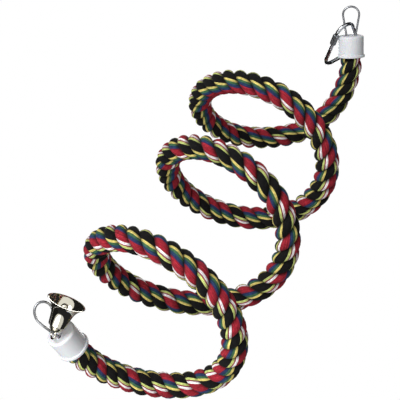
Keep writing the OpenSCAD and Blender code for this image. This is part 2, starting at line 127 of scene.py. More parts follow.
# One strand's yarns in order round it: name of the dye, number of yarns
yarn_order = (("red", 7), ("white", 2), ("rose", 1), ("lime", 2), ("black", 8),
              ("yellow", 2), ("green", 2), ("blue", 2), ("violet", 1))
yarn_count = sum(count for dye, count in yarn_order)

# The photograph looks up along +Y from 1 m away, with the camera rolled; the studio stands
# in the camera's axes round the perch's middle, on a floor too far down to show an edge
view_target, view_away = (-58.08, 43.02, -258.97), 1000.0
view_rise, view_roll, lens_mm, sensor_mm = 38.0, 24.0, 104.2, 36.0
studio_middle = (-58.0, 43.0, -235.0)
floor_half, floor_z = 12000.0, -2800.0
card_half, card_near, card_far = 700.0, 350.0, -4000.0
sky_light, floor_glow = 0.26, 0.9

# Lamps: name, place in the camera's axes (right, up, back), size in metres and watts
lamps = (("key", (-1400, 1300, 2000), 1.4, 60.0),
         ("fill", (-1000, -1200, 1500), 1.2, 24.0),
         ("back", (400, 500, -2200), 1.4, 36.0))

# ---- Places and paths ----


def turned(axis, degrees):
    return np.array(Matrix.Rotation(math.radians(degrees), 4, axis))


def moved(*place):
    return np.array(Matrix.Translation(place))


def placed(points, stand):
    """Points in millimetres of a piece's own stand, as metres in the part's frame."""
    return (np.asarray(points, float) @ stand[:3, :3].T + stand[:3, 3]) * MM


def aim(heading, slope):
    h, s = math.radians(heading), math.radians(slope)
    return np.array([math.cos(s) * math.cos(h), math.cos(s) * math.sin(h), math.sin(s)])


def arc(x, y, radius, start, end, count):
    """Evenly spaced points of an arc between two angles in radians."""
    return [(x + radius * math.cos(a), y + radius * math.sin(a))
            for a in np.linspace(start, end, count)]


def along(values, t):
    """A value that runs smoothly through its stations at t = 0, 1, 2 and so on."""
    steps = range(len(values))
    return sum(value * math.prod((t - j) / (i - j) for j in steps if j != i)
               for i, value in enumerate(values))


def coil_point(t):
    a = math.radians(coil_start + coil_turns * 360 * t / coil_end)
    r = along(coil_radius, t)
    return np.array([coil_axis_at[0] + along(coil_drift, t) + r * math.cos(a),
                     coil_axis_at[1] + r * math.sin(a), along(coil_height, t)])


def coil_aim(t):
    step = coil_point(t + 0.01) - coil_point(t - 0.01)
    return step / np.linalg.norm(step)


def lead(start, leaving, start_ease, end, arriving, end_ease, count=121):
    """Points of a smooth lead that leaves its start along one aim and arrives along another."""
    first, last = start + leaving * start_ease, end - arriving * end_ease
    return [start * (1 - s) ** 3 + first * 3 * s * (1 - s) ** 2
            + last * 3 * s * s * (1 - s) + end * s ** 3 for s in np.linspace(0, 1, count)]


top_aim = aim(top_heading, top_slope)
bottom_aim = aim(bottom_heading, bottom_slope)
top_mouth = -top_aim * (cap_len + eye_h - eye_wire_d / 2)
bottom_mouth = coil_point(coil_end) + np.array(bottom_reach)

# Each stand carries a piece's own millimetres to their place in the part
top_stand = (moved(*top_mouth) @ turned("Z", top_heading) @ turned("Y", 90 - top_slope)
             @ turned("Z", top_eye_turn))
bottom_stand = (moved(*bottom_mouth) @ turned("Z", bottom_heading)
                @ turned("Y", 90 - bottom_slope) @ turned("Z", bottom_eye_turn))
link_stand = (top_stand @ moved(*link_at) @ turned("Z", link_yaw) @ turned("X", link_lean)
              @ turned("Y", link_roll))
bell_stand = (bottom_stand @ moved(*bell_at) @ turned("Z", bell_heading)
              @ turned("Y", bell_lean))
view_turn = turned("X", 90 + view_rise) @ turned("Z", view_roll)
camera_stand = moved(*view_target) @ view_turn @ moved(0, 0, view_away)
studio_stand = moved(*studio_middle) @ view_turn

# The rope's two ends: name, body, stand, and the eye's twist, sway and bend
rope_ends = (("top", "perch", top_stand, (0, 0, 0)),
             ("bottom", "lower_end", bottom_stand,
              (lower_eye_twist, lower_eye_sway, lower_eye_bend)))


def rope_centreline(count, inside, coil_count=601):
    """Evenly spaced points of the rope's centreline, from inside one cap to the other."""
    rough = np.array([
        top_mouth + top_aim * inside,
        *lead(top_mouth - top_aim * rope_straight, -top_aim, top_ease,
              coil_point(0), coil_aim(0), coil_ease_top)[:-1],
        *[coil_point(t) for t in np.linspace(0, coil_end, coil_count)[:-1]],
        *lead(coil_point(coil_end), coil_aim(coil_end), coil_ease_bottom,
              bottom_mouth - bottom_aim * rope_straight, bottom_aim, bottom_ease),
        bottom_mouth + bottom_aim * inside])
    run = np.r_[0, np.cumsum(np.linalg.norm(np.diff(rough, axis=0), axis=1))]
    even = np.linspace(0, run[-1], count)
    return np.column_stack([np.interp(even, run, axis) for axis in rough.T]) * MM


def eye_points(twist, sway, bend):
    """The eye's path in its cap's stand: up one leg, round the top and down the other."""
    foot, pinch, base = eye_foot / 2, eye_pinch / 2, cap_len - cap_end
    centre_h = eye_h - eye_r
    touch = math.acos(eye_r / math.hypot(foot, centre_h)) - math.atan2(centre_h, foot)
    round_count, leg_count = 33, 17
    top = arc(0, cap_len + centre_h, eye_r, touch, QUARTER, round_count)
    half = [(pinch, ferrule_top_z - eye_tail)]
    half += [(pinch + (foot - pinch) * s * s * (3 - 2 * s),
              ferrule_top_z + (base - ferrule_top_z) * s) for s in np.linspace(0, 1, leg_count)]
    half += [*np.linspace((foot, cap_len), top[0], leg_count)[:-1], *top]

    def bent(side, r, z):
        u = max(z - cap_len, 0) / eye_h
        a = math.radians(twist * (1 - u))
        return (side * r * math.cos(a) + sway * u * u,
                side * r * math.sin(a) + bend * u * u, z)

    return [bent(-1, *p) for p in half] + [bent(1, *p) for p in half[-2::-1]]


def link_points(count=29):
    """The link's rod in its own XZ plane, from one side of the gate round to the other."""
    top = np.array([0, -link_top_r])
    corner = np.array([link_half_w - link_corner_r, link_corner_r - link_len])
    tilt = (math.atan2(corner[1] - top[1], corner[0])
            + math.acos((link_top_r - link_corner_r) / np.linalg.norm(corner - top)))
    crest = arc(*top, link_top_r, QUARTER, tilt, count)
    bend = arc(*corner, link_corner_r, tilt, -QUARTER, count)
    leg = np.subtract(bend[0], crest[-1])
    leg = leg / np.linalg.norm(leg)
    gate = crest[-1] + leg * (gate_at - link_top_r / 2)
    upper, lower = gate - leg * gate_gap / 2, gate + leg * gate_gap / 2
    left_top, left_foot = (upper, *crest[:0:-1]), (*bend[::-1], lower)
    return ([(-x, 0, z) for x, z in left_top] + [(x, 0, z) for x, z in crest + bend]
            + [(-x, 0, z) for x, z in left_foot])


# ---- Profiles of the turned pieces: closed half sections of (radius, height) ----


def cap_profile():
    """A cap: outside up from its lip, over the rounded edge, and the bore down."""
    bore, outer, lip = rope_d / 2 + cap_fit, rope_d / 2 + cap_fit + cap_wall, cap_lip / 2
    base, step, ease = cap_len - cap_end, 0.3, 0.4
    return [(bore, cap_bevel), (bore + cap_bevel, 0), (outer + lip, 0),
            *arc(outer + lip, lip, lip, 0.2 - QUARTER, 0, 7),
            *arc(outer + lip, cap_lip_h - lip, lip, 0, QUARTER, 8),
            (outer + step, cap_lip_h), (outer, cap_lip_h + step),
            *arc(outer - cap_edge, cap_len - cap_edge, cap_edge, 0, QUARTER, 12),
            (0, cap_len), (0, base), (bore - ease, base), (bore, base - ease)]


def drill_profile(over=1.0):
    """A drill for one leg of an eye, through the cap's closed end and a little over it."""
    low, high = cap_len - cap_end - over, cap_len + over
    return [(0, low), (eye_hole_r, low), (eye_hole_r, high), (0, high)]


def bell_profile():
    """The bell's shell: outside from its shoulder to the flared mouth, and back inside."""
    top = shoulder_z + bell_edge
    outside = [(0, shoulder_z),
               *arc(bell_shoulder_r - bell_edge, top, bell_edge, -QUARTER, 0, 10)]
    for u in np.linspace(0, 1, 41)[1:]:
        flare = bell_taper * u + (1 - bell_taper) * u ** bell_flare
        outside.append((bell_shoulder_r + (bell_mouth_r - bell_shoulder_r) * flare,
                        top + (bell_h - bell_edge) * u))
    inside = [(max(r - bell_wall, 0), z + bell_wall) if z < top + 0.01 else
              (r - bell_wall, z) for r, z in outside[:1:-1]]
    return outside + inside + [(0, plate_z)]


def crown_profile():
    """The bell's crown: a boss with a rounded top, and the rivet that holds the staple."""
    r = crown_d / 2
    return [(0, crown_z - 0.4), (r - 1.7, crown_z - 0.4), (r - 1.4, crown_z - 0.3),
            (r - 0.7, crown_z + 0.65), (r - 0.58, crown_z + 0.9), (r, shoulder_z),
            (rivet_r, shoulder_z), (rivet_r, plate_z + rivet_grip), (0, plate_z + rivet_grip)]


def plate_profile():
    """The staple's plate, with a hollow for the rivet."""
    hollow_r, hollow_z = rivet_r + rivet_room, plate_z + rivet_grip + rivet_room
    low = plate_z + plate_t
    return [(hollow_r, plate_z), (plate_r, plate_z), (plate_r, low - plate_edge),
            (plate_r - plate_edge, low), (0, low), (0, hollow_z), (hollow_r, hollow_z)]


def ball_profile():
    """The clapper's ball on its wire."""
    start = -math.acos(clapper_wire_r / clapper_ball_r)
    return [(clapper_wire_r, clapper_ring_r),
            *arc(0, clapper_len, clapper_ball_r, start, QUARTER, 24), (0, clapper_ring_r)]


# ---- Pieces ----


def put(name, data):
    """A new object in the scene."""
    made = bpy.data.objects.new(name, data)
    bpy.context.scene.collection.objects.link(made)
    return made


def settled(item, name):
    """An object's shape after its modifiers, as a plain mesh."""
    bpy.context.view_layer.update()
    graph = bpy.context.evaluated_depsgraph_get()
    mesh = bpy.data.meshes.new_from_object(item.evaluated_get(graph),
                                           preserve_all_data_layers=True, depsgraph=graph)
    mesh.name = name
    return mesh


def point_out(mesh):
    """Turn a closed mesh's faces outwards, judged by its signed volume."""
    mesh.calc_loop_triangles()
    at = np.empty(len(mesh.vertices) * 3)
    mesh.vertices.foreach_get("co", at)
    corners = np.empty(len(mesh.loop_triangles) * 3, int)
    mesh.loop_triangles.foreach_get("vertices", corners)
    a, b, c = at.reshape(-1, 3)[corners.reshape(-1, 3)].transpose(1, 0, 2)
    if np.einsum("ij,ij->i", a, np.cross(b, c)).sum() < 0:
        mesh.flip_normals()


def from_tree(name, points, tree, values):
    """Run a geometry tree along a path and keep the result as a plain mesh piece."""
    path = bpy.data.meshes.new(name + "_path")
    path.from_pydata([tuple(p) for p in points],
                     [(i, i + 1) for i in range(len(points) - 1)], [])
    carrier = put(name + "_carrier", path)
    maker = carrier.modifiers.new("Maker", "NODES")
    maker.node_group = tree
    for socket in tree.interface.items_tree:
        if socket.in_out == "INPUT" and socket.name in values:
            maker[socket.identifier] = values[socket.name]
    piece = put(name, settled(carrier, name))
    bpy.data.objects.remove(carrier)
    point_out(piece.data)
    return piece


def lathe(name, profile, material, stand, steps=96):
    """A turned piece from its half section, round the Z axis of its stand."""
    radius, height = np.array(profile, float).T
    angle = TURN * np.arange(steps) / steps
    flat = np.stack([np.outer(np.cos(angle), radius), np.outer(np.sin(angle), radius),
                     np.tile(height, (steps, 1))], axis=-1).reshape(-1, 3)
    here = np.arange(len(flat)).reshape(steps, -1)
    after = np.roll(here, -1, axis=0)
    faces = np.stack([here, after, np.roll(after, -1, axis=1), np.roll(here, -1, axis=1)],
                     axis=-1).reshape(-1, 4)
    mesh = bpy.data.meshes.new(name)
    mesh.from_pydata(placed(flat, stand).tolist(), [], faces.tolist())
    station = mesh.attributes.new("turned_at", "FLOAT_VECTOR", "POINT")
    station.data.foreach_set("vector", (flat * MM).astype(np.float32).ravel())
    mesh.shade_smooth()
    mesh.materials.append(material)
    shell = bmesh.new()
    shell.from_mesh(mesh)
    bmesh.ops.remove_doubles(shell, verts=shell.verts, dist=1e-7)
    bmesh.ops.dissolve_degenerate(shell, edges=shell.edges, dist=1e-8)
    shell.to_mesh(mesh)
    shell.free()
    point_out(mesh)
    return put(name, mesh)


def wire_ring(name, ring_r, wire_r, material, stand, steps):
    """A closed ring of round wire, upright in its stand."""
    return lathe(name, arc(ring_r, 0, wire_r, 0, TURN, 25)[:-1], material,
                 stand @ turned("X", 90), steps)


def joined(name, *pieces):
    """Several made meshes as one piece."""
    with bpy.context.temp_override(active_object=pieces[0], object=pieces[0],
                                   selected_objects=pieces,
                                   selected_editable_objects=pieces):
        bpy.ops.object.join()
    pieces[0].name = pieces[0].data.name = name
    return pieces[0]


def drilled(piece, drills):
    """Cut round holes in a piece and remove the drills."""
    for drill in drills:
        cutter = piece.modifiers.new("Drill", "BOOLEAN")
        cutter.object = drill
        cutter.solver = "EXACT"
    mesh = settled(piece, piece.name)
    piece.modifiers.clear()
    piece.data = mesh
    for drill in drills:
        bpy.data.objects.remove(drill)


def dress(node, material):
    """Give a CAD node its finish."""
    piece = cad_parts[node]
    piece.data.materials.clear()
    piece.data.materials.append(material)


def given_to(piece, body, node, crease=None):
    """Hand a finished piece to its body and the node that it stands for.

    Edges sharper than the crease, in degrees, stay crisp."""
    if crease:
        piece.data.set_sharp_from_angle(angle=math.radians(crease))
    if body:
        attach(piece, body)
    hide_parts(node)
    dress(node, piece.data.materials[0])


# ---- Nodes that trees and materials share ----


def linear(code):
    """An sRGB hex colour as linear red, green, blue and alpha."""
    parts = [int(code[i:i + 2], 16) / 255 for i in (1, 3, 5)]
    out = [c / 12.92 if c <= 0.04045 else ((c + 0.055) / 1.055) ** 2.4 for c in parts]
    return (*out, 1.0)


def end_of(value):
    """A node stands for its first output; sockets and plain values are left as they are."""
    return value.outputs[0] if isinstance(value, bpy.types.Node) else value


def add(tree, kind, inputs=(), **settings):
    """Add a node with its settings, and link or set its inputs, by name or in order."""
    made = tree.nodes.new(kind)
    for name, value in settings.items():
        setattr(made, name, value)
    for key, value in inputs.items() if isinstance(inputs, dict) else enumerate(inputs):
        value = end_of(value)
        if isinstance(value, bpy.types.NodeSocket):
            tree.links.new(value, made.inputs[key])
        else:
            made.inputs[key].default_value = value
    return made


def wave(tree, value, pitch):
    """A sine that repeats once in each pitch of a value."""
    angle = add(tree, MATH, (value, TURN / pitch), operation="MULTIPLY")
    return add(tree, MATH, (angle,), operation="SINE")


def screw(tree, place, pitch, starts):
    """Turns of a screw line round Z: one in each pitch along it, and its starts round it."""
    x, y, z = add(tree, "ShaderNodeSeparateXYZ", (place,)).outputs
    around = add(tree, MATH, (y, x), operation="ARCTAN2")
    rise = add(tree, MATH, (z, pitch), operation="DIVIDE")
    return add(tree, MATH, (around, starts / TURN, rise), operation="MULTIPLY_ADD")


def grain(tree, place, fineness, detail, rough=0.5):
    """Noise with so many grains to each unit of a place's three axes."""
    fine = add(tree, VECTOR_MATH, (place, fineness), operation="MULTIPLY")
    return add(tree, "ShaderNodeTexNoise", {"Vector": fine, "Scale": 1.0, "Detail": detail,
                                            "Roughness": rough})


def colour_band(tree, place, stops, blend="LINEAR"):
    """A colour looked up in a band by its place, from stops of (place, linear colour)."""
    made = add(tree, "ShaderNodeValToRGB", (place,))
    made.color_ramp.interpolation = blend
    held = made.color_ramp.elements
    held.remove(held[-1])
    held[0].position, held[0].color = stops[0]
    for at, colour in stops[1:]:
        held.new(at).color = colour
    return made


def stations(tree, run, values):
    """A value that runs smoothly through its stations, one each 0.2 m of rope."""
    low, high, last = min(values), max(values), len(values) - 1
    share = add(tree, MATH, (run, station_step * last), operation="DIVIDE")
    made = add(tree, "ShaderNodeFloatCurve", {"Value": share})
    line = made.mapping.curves[0]
    for i in range(1, last):
        line.points.new(i / last, 0.5)
    for i, value in enumerate(values):
        line.points[i].location = (i / last, (value - low) / (high - low))
        line.points[i].handle_type = "AUTO_CLAMPED"
    made.mapping.update()
    return add(tree, MAP_RANGE, (made, 0.0, 1.0, low, high))


def lay_turns(tree, run, lay):
    """Turns of a strand up to a run of rope: one each lay, tighter near the lower end."""
    past = add(tree, MATH, (run, tighter_from), operation="SUBTRACT")
    past = add(tree, MATH, (past, 0.0), operation="MAXIMUM")
    tighter = add(tree, MATH, (past, tighter_by), operation="MULTIPLY")
    turns = add(tree, MATH, (run, lay), operation="DIVIDE")
    turns = add(tree, MATH, (past, tighter, turns), operation="MULTIPLY_ADD")
    return add(tree, MATH, (turns, stations(tree, run, lay_lead)), operation="ADD")


# ---- Geometry Nodes trees ----


def new_tree(name, sizes):
    """A geometry tree that takes a path, its named sizes and a material."""
    tree = bpy.data.node_groups.new(name, "GeometryNodeTree")
    tree.interface.new_socket("Path", in_out="INPUT", socket_type="NodeSocketGeometry")
    for label, size in sizes.items():
        kind = "NodeSocketInt" if isinstance(size, int) else "NodeSocketFloat"
        tree.interface.new_socket(label, in_out="INPUT", socket_type=kind).default_value = size
    tree.interface.new_socket("Material", in_out="INPUT", socket_type="NodeSocketMaterial")
    tree.interface.new_socket("Piece", in_out="OUTPUT", socket_type="NodeSocketGeometry")
    return tree, add(tree, "NodeGroupInput").outputs


def carried(tree, curve, fields):
    """Measure fields on a curve's points; gives the curve and the values it carries."""
    made = add(tree, "GeometryNodeCaptureAttribute", {"Geometry": curve}, domain="POINT")
    for label, field in fields.items():
        made.capture_items.new("VECTOR" if end_of(field).type == "VECTOR" else "FLOAT", label)
    for label, field in fields.items():
        tree.links.new(end_of(field), made.inputs[label])
    return made.outputs[:len(fields) + 1]


def even_path(tree, given):
    """The path as an evenly stepped curve."""
    curve = add(tree, "GeometryNodeMeshToCurve", {"Mesh": given["Path"]})
    return add(tree, "GeometryNodeResampleCurve", {"Curve": curve, "Length": given["Step"]},
               mode="LENGTH")


def rounded(tree, given, curve, radius, run, name, **scale):
    """A round rod along a curve, whose points keep their cosine, sine and run by name."""
    ring = add(tree, "GeometryNodeCurvePrimitiveCircle",
               {"Resolution": given["Sides"], "Radius": radius}, mode="RADIUS")
    factor = add(tree, "GeometryNodeSplineParameter").outputs["Factor"]
    angle = add(tree, MATH, (factor, TURN), operation="MULTIPLY")
    profile, cosine, sine = carried(tree, ring, {
        "Cosine": add(tree, MATH, (angle,), operation="COSINE"),
        "Sine": add(tree, MATH, (angle,), operation="SINE")})
    skin = add(tree, "GeometryNodeCurveToMesh",
               {"Curve": curve, "Profile Curve": profile, "Fill Caps": True, **scale})
    where = add(tree, "ShaderNodeCombineXYZ", (cosine, sine, run))
    return add(tree, "GeometryNodeStoreNamedAttribute",
               {"Geometry": skin, "Name": name, "Value": where},
               data_type="FLOAT_VECTOR", domain="POINT")


def close_tree(tree, geometry, given):
    """End a tree in smooth faces, real geometry and its material."""
    smooth = add(tree, "GeometryNodeSetShadeSmooth", {"Geometry": geometry})
    real = add(tree, "GeometryNodeRealizeInstances", {"Geometry": smooth})
    dressed = add(tree, "GeometryNodeSetMaterial",
                  {"Geometry": real, "Material": given["Material"]})
    add(tree, "NodeGroupOutput", {"Piece": dressed})
    return tree


def bent_rod_tree():
    """A round rod that follows a path."""
    tree, given = new_tree("Bent Rod", {"Radius": 0.001, "Step": 0.0006, "Sides": 20})
    length = add(tree, "GeometryNodeSplineParameter").outputs["Length"]
    path, run = carried(tree, even_path(tree, given), {"Run": length})
    rod = rounded(tree, given, path, given["Radius"], run, "rod_round")
    return close_tree(tree, rod, given)


def laid_rope_tree():
    """Strands that wind round a path: the rule by which a laid rope is made."""
    tree, given = new_tree("Laid Rope", {
        "Strands": 3, "Lay": 0.03, "Strand Centre Radius": 0.0052, "Strand Radius": 0.0048,
        "Step": 0.002, "Sides": 24})
    # The rope is thinner near its ends, where the caps squeeze it
    length = add(tree, "GeometryNodeSplineParameter").outputs["Length"]
    rest = add(tree, MATH, (add(tree, "GeometryNodeSplineLength"), length),
               operation="SUBTRACT")
    nearer = add(tree, MATH, (length, rest), operation="MINIMUM")
    full = add(tree, MAP_RANGE, (nearer, squeeze_start, squeeze_end, squeezed, 1.0),
               interpolation_type="SMOOTHSTEP")
    path, side, ahead, run, full = carried(tree, even_path(tree, given), {
        "Side": add(tree, "GeometryNodeInputNormal"),
        "Ahead": add(tree, "GeometryNodeInputTangent"), "Run": length, "Fullness": full})
    # Each strand winds round the path, a share of a turn after the one before
    copies = add(tree, "GeometryNodeDuplicateElements",
                 {"Geometry": path, "Amount": given["Strands"]}, domain="SPLINE")
    share = add(tree, MATH, (copies.outputs["Duplicate Index"], given["Strands"]),
                operation="DIVIDE")
    turns = add(tree, MATH, (lay_turns(tree, run, given["Lay"]), share), operation="ADD")
    angle = add(tree, MATH, (turns, TURN), operation="MULTIPLY")
    across = add(tree, VECTOR_MATH, (ahead, side), operation="CROSS_PRODUCT")
    parts = [add(tree, VECTOR_MATH,
                 {0: axis, "Scale": add(tree, MATH, (angle,), operation=wheel)},
                 operation="SCALE") for axis, wheel in ((side, "COSINE"), (across, "SINE"))]
    strand, out, run, share, full = carried(tree, copies, {
        "Outward": add(tree, VECTOR_MATH, parts, operation="ADD"),
        "Run": run, "Which": share, "Fullness": full})
    reach = add(tree, MATH, (given["Strand Centre Radius"], full), operation="MULTIPLY")
    offset = add(tree, VECTOR_MATH, {0: out, "Scale": reach}, operation="SCALE")
    wound = add(tree, "GeometryNodeSetPosition", {"Geometry": strand, "Offset": offset})
    faced = add(tree, "GeometryNodeSetCurveNormal", {"Curve": wound, "Normal": out},
                mode="FREE")
    rope = rounded(tree, given, faced, given["Strand Radius"], run, "strand_round", Scale=full)
    rope = add(tree, "GeometryNodeStoreNamedAttribute",
               {"Geometry": rope, "Name": "strand_share", "Value": share},
               data_type="FLOAT", domain="POINT")
    return close_tree(tree, rope, given)


# ---- Materials ----


def new_material(name):
    """An empty material and its tree."""
    made = bpy.data.materials.new(name)
    made.use_nodes = True
    made.node_tree.nodes.clear()
    return made, made.node_tree


def coat(tree, finish, *reliefs):
    """Close a material: reliefs of (height, depth in metres, strength), and its shader."""
    normal = {}
    for height, depth, strength in reliefs:
        normal = {"Normal": add(tree, "ShaderNodeBump", {
            "Height": height, "Distance": depth, "Strength": strength, **normal})}
    shader = add(tree, "ShaderNodeBsdfPrincipled", {**finish, **normal})
    add(tree, "ShaderNodeOutputMaterial", {"Surface": shader})


def own_place(tree, stand):
    """Object coordinates in metres, brought to the stand of a piece."""
    seen = add(tree, "ShaderNodeTexCoord").outputs["Object"]
    return add(tree, "ShaderNodeMapping", {
        "Vector": seen, "Location": tuple(stand[:3, 3] * MM),
        "Rotation": Matrix(stand.tolist()).to_euler()}, vector_type="TEXTURE")


# Dyed cotton: matt, soft at grazing angles, with round yarns that catch the light singly,
# and painted shade in the hollows between yarns and between strands
def dyed_cotton(settings):
    made, tree = new_material("Dyed laid cotton")
    where = add(tree, "ShaderNodeAttribute", attribute_name="strand_round").outputs["Vector"]
    share = add(tree, "ShaderNodeAttribute", attribute_name="strand_share").outputs["Fac"]
    cosine, sine, run = add(tree, "ShaderNodeSeparateXYZ", (where,)).outputs
    # Each strand's own twist wanders along the rope
    turns = settings.colour_start
    for k, values in enumerate(yarn_lead):
        own = add(tree, MATH, (share, k / 3, 0.1), operation="COMPARE")
        turns = add(tree, MATH, (own, stations(tree, run, values), turns),
                    operation="MULTIPLY_ADD")
    # The yarns are twisted against the lay, so that they run along the rope outside
    wound = add(tree, MATH, (lay_turns(tree, run, settings.lay_length), share), operation="ADD")
    turns = add(tree, MATH, (wound, settings.yarn_twist, turns), operation="MULTIPLY_ADD")
    angle = add(tree, MATH, (sine, cosine), operation="ARCTAN2")
    turns = add(tree, MATH, (angle, 1 / TURN, turns), operation="MULTIPLY_ADD")
    yarn = add(tree, MATH, (turns, yarn_count), operation="MULTIPLY")
    whole = add(tree, MATH, (yarn,), operation="FLOOR")
    inside = add(tree, MATH, (yarn,), operation="FRACT")
    # Each yarn is one colour all through
    centre = add(tree, MATH, (whole, 0.5), operation="ADD")
    centre = add(tree, MATH, (centre, yarn_count), operation="DIVIDE")
    stops, start = [], 0
    for dye, count in yarn_order:
        stops.append((start / yarn_count, (*getattr(settings, "yarn_" + dye), 1)))
        start += count
    colour = colour_band(tree, add(tree, MATH, (centre,), operation="FRACT"), stops, "CONSTANT")
    # Each yarn took the dye a little differently, and changes again every 17 mm or so
    by_yarn = add(tree, "ShaderNodeCombineXYZ", (whole, run, share))
    uneven = grain(tree, by_yarn, (3.7, 0.06 / MM, 30.0), 1.0)
    # Fibres, about 0.4 mm apart as drawn: real ones are 0.02 mm and too fine to show
    by_fibre = add(tree, "ShaderNodeCombineXYZ", (yarn, run, share))
    fibres = grain(tree, by_fibre, (1.6, 0.9 / MM, 1.0), 3.0, 0.65)
    # Painted shade: the hollow between two yarns holds less light than its crown, so the colour
    # is darker there, far darker in the hollows between the strands, and a little lighter on
    # crests
    crown = wave(tree, inside, 2.0)
    # Painted shade where a strand turns into the hollows between strands, painted light on its
    # crest
    hollow = add(tree, MAP_RANGE, (cosine, 0.0, 0.95, 0.12, 1.15),
                 interpolation_type="SMOOTHSTEP")
    # Uneven dye and fibres are the yarns' own tone; the crown's and the hollow's factors are
    # painted shade
    for light in (add(tree, MAP_RANGE, (uneven, 0.3, 0.7, 0.7, 1.25)),
                  add(tree, MAP_RANGE, (fibres, 0.3, 0.7, 0.55, 1.4)),
                  add(tree, MAP_RANGE, (crown, 0.0, 1.0, 0.55, 1.12)), hollow):
        colour = add(tree, VECTOR_MATH, {0: colour, "Scale": light}, operation="SCALE")
    lint = add(tree, MAP_RANGE, (fibres, 0.0, 1.0, 0.0, 0.012))
    colour = add(tree, "ShaderNodeMix", {0: lint, 6: colour, 7: linear("#d8d0cc")},
                 data_type="RGBA")
    # The threads of a yarn, which is 1.2 mm wide, climb round it once in 2.4 mm
    ply = add(tree, MATH, (run, 1 / (2.4 * MM), inside), operation="MULTIPLY_ADD")
    relief = crown
    for part, height in ((wave(tree, ply, 1.0), 0.12), (fibres, 0.35)):
        relief = add(tree, MATH, (part, height, relief), operation="MULTIPLY_ADD")
    coat(tree, {"Base Color": colour.outputs[2], "Roughness": 0.9, "Sheen Weight": 0.03,
                "Sheen Roughness": 0.5, "Specular IOR Level": 0.1},
         (relief, 0.35 * MM, 0.85))
    return made


# Moulded polypropylene: milky white, a soft broad gloss, faint drag marks from the mould
def moulded_polypropylene(name, white):
    made, tree = new_material(name)
    place = add(tree, "ShaderNodeAttribute", attribute_name="turned_at").outputs["Vector"]
    # The marks are 1.4 mm apart round the cap and 33 mm long
    marks = grain(tree, place, (0.7 / MM, 0.7 / MM, 0.03 / MM), 1.0)
    tone = add(tree, MAP_RANGE, (marks, 0.0, 1.0, 0.97, 1.03))
    colour = add(tree, VECTOR_MATH, {0: white, "Scale": tone}, operation="SCALE")
    coat(tree, {"Base Color": colour, "Roughness": 0.42, "IOR": 1.49,
                "Subsurface Weight": 0.12, "Subsurface Scale": 2 * MM},
         (marks, 0.02 * MM, 0.3))
    return made


# Zinc-plated steel rod: bright and hard, with draw lines along it and a faint blue cast
def zinc_plated(name, colour, roughness, thread_from=None):
    made, tree = new_material(name)
    place = add(tree, "ShaderNodeAttribute", attribute_name="rod_round").outputs["Vector"]
    # The lines are a fifth of the rod's radius apart and 25 mm long
    drawn = grain(tree, place, (5.0, 5.0, 0.04 / MM), 1.0)
    reliefs = [(drawn, 0.006 * MM, 0.06)]
    if thread_from is not None:
        # Rolled thread of 0.8 mm pitch on the end that the nut screws on to
        turns = screw(tree, place, 0.8 * MM, -1)
        ridge = add(tree, MATH, (turns, 0.5), operation="PINGPONG")
        run = add(tree, "ShaderNodeSeparateXYZ", (place,)).outputs[2]
        cut = add(tree, MATH, (run, thread_from), operation="GREATER_THAN")
        thread = add(tree, MATH, (ridge, cut), operation="MULTIPLY")
        reliefs.append((thread, 0.4 * MM, 1.0))
    gloss = add(tree, MAP_RANGE, (drawn, 0.0, 1.0, roughness * 0.85, roughness * 1.15))
    coat(tree, {"Base Color": linear(colour), "Metallic": 1.0, "Roughness": gloss}, *reliefs)
    return made


# Nickel plate over spun steel: warm mirror, faint spinning rings, dulled by handling
def nickel_plated(name, colour, roughness, rings_per_mm, ring_depth):
    made, tree = new_material(name)
    place = add(tree, "ShaderNodeAttribute", attribute_name="turned_at").outputs["Vector"]
    flat = add(tree, VECTOR_MATH, (place, (1, 1, 0)), operation="MULTIPLY")
    radius = add(tree, VECTOR_MATH, (flat,), operation="LENGTH").outputs["Value"]
    height = add(tree, "ShaderNodeSeparateXYZ", (place,)).outputs[2]
    spun = grain(tree, add(tree, "ShaderNodeCombineXYZ", (radius, 0.0, height)),
                 (rings_per_mm / MM,) * 3, 2.0)
    # Smears of handling, 6 mm across
    smear = grain(tree, place, (0.16 / MM,) * 3, 3.0)
    tone = add(tree, MAP_RANGE, (smear, 0.0, 1.0, 0.93, 1.04))
    plate = add(tree, VECTOR_MATH, {0: linear(colour)[:3], "Scale": tone}, operation="SCALE")
    gloss = add(tree, MAP_RANGE, (smear, 0.0, 1.0, roughness * 0.6, roughness * 1.5))
    coat(tree, {"Base Color": plate, "Metallic": 1.0, "Roughness": gloss},
         (spun, ring_depth, 0.5))
    return made


# Woven cotton tape: pale, matt, a plain weave of 0.5 mm threads, wound at 6 mm a turn
def wound_tape(name, stand):
    made, tree = new_material(name)
    place = own_place(tree, stand)
    thread, tape_r, wrap = 0.5, 10.6, 6.0
    x, y, z = add(tree, "ShaderNodeSeparateXYZ", (place,)).outputs
    around = add(tree, MATH, (y, x), operation="ARCTAN2")
    edge = add(tree, MATH, (screw(tree, place, wrap * MM, -1),), operation="FRACT")
    edge = add(tree, MATH, (edge, 4.0), operation="MULTIPLY")
    relief = add(tree, MATH, (
        wave(tree, around, thread / tape_r), wave(tree, z, thread * MM), edge),
        operation="MULTIPLY_ADD")
    fluff = grain(tree, place, (0.9 / MM,) * 3, 2.0)
    tone = colour_band(tree, fluff, ((0.3, linear("#d9d2bb")), (0.7, linear("#eae5d4"))))
    coat(tree, {"Base Color": tone, "Roughness": 0.85, "Sheen Weight": 0.15},
         (relief, 0.06 * MM, 0.8))
    return made


